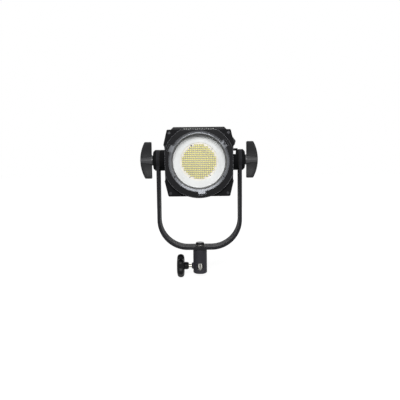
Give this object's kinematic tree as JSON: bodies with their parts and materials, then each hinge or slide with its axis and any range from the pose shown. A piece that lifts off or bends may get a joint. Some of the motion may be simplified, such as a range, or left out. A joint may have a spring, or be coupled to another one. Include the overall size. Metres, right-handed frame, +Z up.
{
  "type": "studio lamp head",
  "caption": "Square studio LED lamp head with a bayonet accessory mount, tilting in a flat-bar yoke on a stand socket with a star clamp knob.",
  "frame": {"origin": "centre of the mouth of the stand socket, at the bottom", "axes": "+Z up the socket to the lamp, -Y where the lamp faces, +X to the right seen from the front"},
  "size_m": [0.2682, 0.2634, 0.3413],
  "materials": {
    "cast_black": "satin powder coat",
    "ring_black": "matt black anodised",
    "yoke_black": "fine-textured powder coat",
    "plastic_black": "matt moulded plastic",
    "steel": "bright steel",
    "plate_silver": "satin aluminium",
    "disc_white": "matt white",
    "board_white": "white solder mask on an aluminium core",
    "chips": "yellow phosphor",
    "copper": "copper",
    "aluminium": "bare aluminium",
    "screen": "smoked gloss window",
    "pcb": "green circuit board",
    "friction": "fibre friction washer"
  },
  "bodies": {
    "yoke": {"yoke_bracket": "yoke_black", "stand_receiver": "yoke_black", "receiver_liner": "steel", "yoke_bolt": "steel", "yoke_washer": "steel", "arm_cap_left": "cast_black", "arm_cap_right": "cast_black"},
    "clamp": {"clamp_knob": "plastic_black", "clamp_screw": "steel"},
    "handle_left": {"tilt_handle_left": "plastic_black"},
    "handle_right": {"tilt_handle_right": "plastic_black"},
    "release": {"release_lever": "plastic_black", "lock_pin": "steel"},
    "fan": {"fan_rotor": "plastic_black"},
    "dial_left": {"dial_left": "plastic_black"},
    "dial_right": {"dial_right": "plastic_black"},
    "rocker": {"power_rocker": "plastic_black"},
    "button_1": {"button_1": "plastic_black"},
    "button_2": {"button_2": "plastic_black"},
    "button_3": {"button_3": "plastic_black"},
    "button_4": {"button_4": "plastic_black"},
    "head": {"mount_ring": "ring_black", "bayonet_plate": "plate_silver", "front_bezel": "cast_black", "well_tube": "ring_black", "baffle_disc": "disc_white", "led_board": "board_white", "led_array": "chips", "bezel_screws": "steel", "heat_spreader": "aluminium", "heat_sink": "aluminium", "heat_pipes": "copper", "fan_frame": "plastic_black", "housing_left": "cast_black", "housing_right": "cast_black", "roof_cover": "plastic_black", "rear_panel": "plastic_black", "display_window": "screen", "power_inlet": "plastic_black", "data_port": "steel", "service_port": "steel", "driver_board": "pcb", "rear_screws": "steel", "tilt_stud_left": "steel", "side_plate_left": "steel", "tilt_hub_left": "cast_black", "friction_ring_left": "friction", "tilt_stud_right": "steel", "side_plate_right": "steel", "tilt_hub_right": "cast_black", "friction_ring_right": "friction"}
  },
  "joints": [
    {"name": "head_tilt", "type": "hinge", "parent": "yoke", "child": "head", "pos_m": [0, 0, 0.2625], "axis": [1, 0, 0], "range_deg": [-90, 90]},
    {"name": "clamp_turn", "type": "hinge", "parent": "yoke", "child": "clamp", "pos_m": [-0.03, 0, 0.0166], "axis": [-1, 0, 0], "range_deg": [0, 360]},
    {"name": "handle_left_turn", "type": "hinge", "parent": "head", "child": "handle_left", "pos_m": [-0.11, 0, 0.2625], "axis": [-1, 0, 0], "range_deg": [0, 180]},
    {"name": "handle_right_turn", "type": "hinge", "parent": "head", "child": "handle_right", "pos_m": [0.11, 0, 0.2625], "axis": [1, 0, 0], "range_deg": [0, 180]},
    {"name": "mount_release", "type": "slide", "parent": "head", "child": "release", "axis": [0, 1, 0], "range_m": [0, 0.005], "stiffness_N_per_m": 600},
    {"name": "fan_spin", "type": "hinge", "parent": "head", "child": "fan", "pos_m": [0, 0.03, 0.2592], "axis": [0, 1, 0], "continuous": true},
    {"name": "dial_left_turn", "type": "hinge", "parent": "head", "child": "dial_left", "pos_m": [-0.033, 0.145, 0.2452], "axis": [0, 1, 0], "continuous": true},
    {"name": "dial_right_turn", "type": "hinge", "parent": "head", "child": "dial_right", "pos_m": [0.033, 0.145, 0.2452], "axis": [0, 1, 0], "continuous": true},
    {"name": "rocker_tip", "type": "hinge", "parent": "head", "child": "rocker", "pos_m": [0, 0.1385, 0.2452], "axis": [1, 0, 0], "range_deg": [-16, 0]},
    {"name": "button_1_press", "type": "slide", "parent": "head", "child": "button_1", "axis": [0, -1, 0], "range_m": [0, 0.0012], "stiffness_N_per_m": 400},
    {"name": "button_2_press", "type": "slide", "parent": "head", "child": "button_2", "axis": [0, -1, 0], "range_m": [0, 0.0012], "stiffness_N_per_m": 400},
    {"name": "button_3_press", "type": "slide", "parent": "head", "child": "button_3", "axis": [0, -1, 0], "range_m": [0, 0.0012], "stiffness_N_per_m": 400},
    {"name": "button_4_press", "type": "slide", "parent": "head", "child": "button_4", "axis": [0, -1, 0], "range_m": [0, 0.0012], "stiffness_N_per_m": 400}
  ]
}
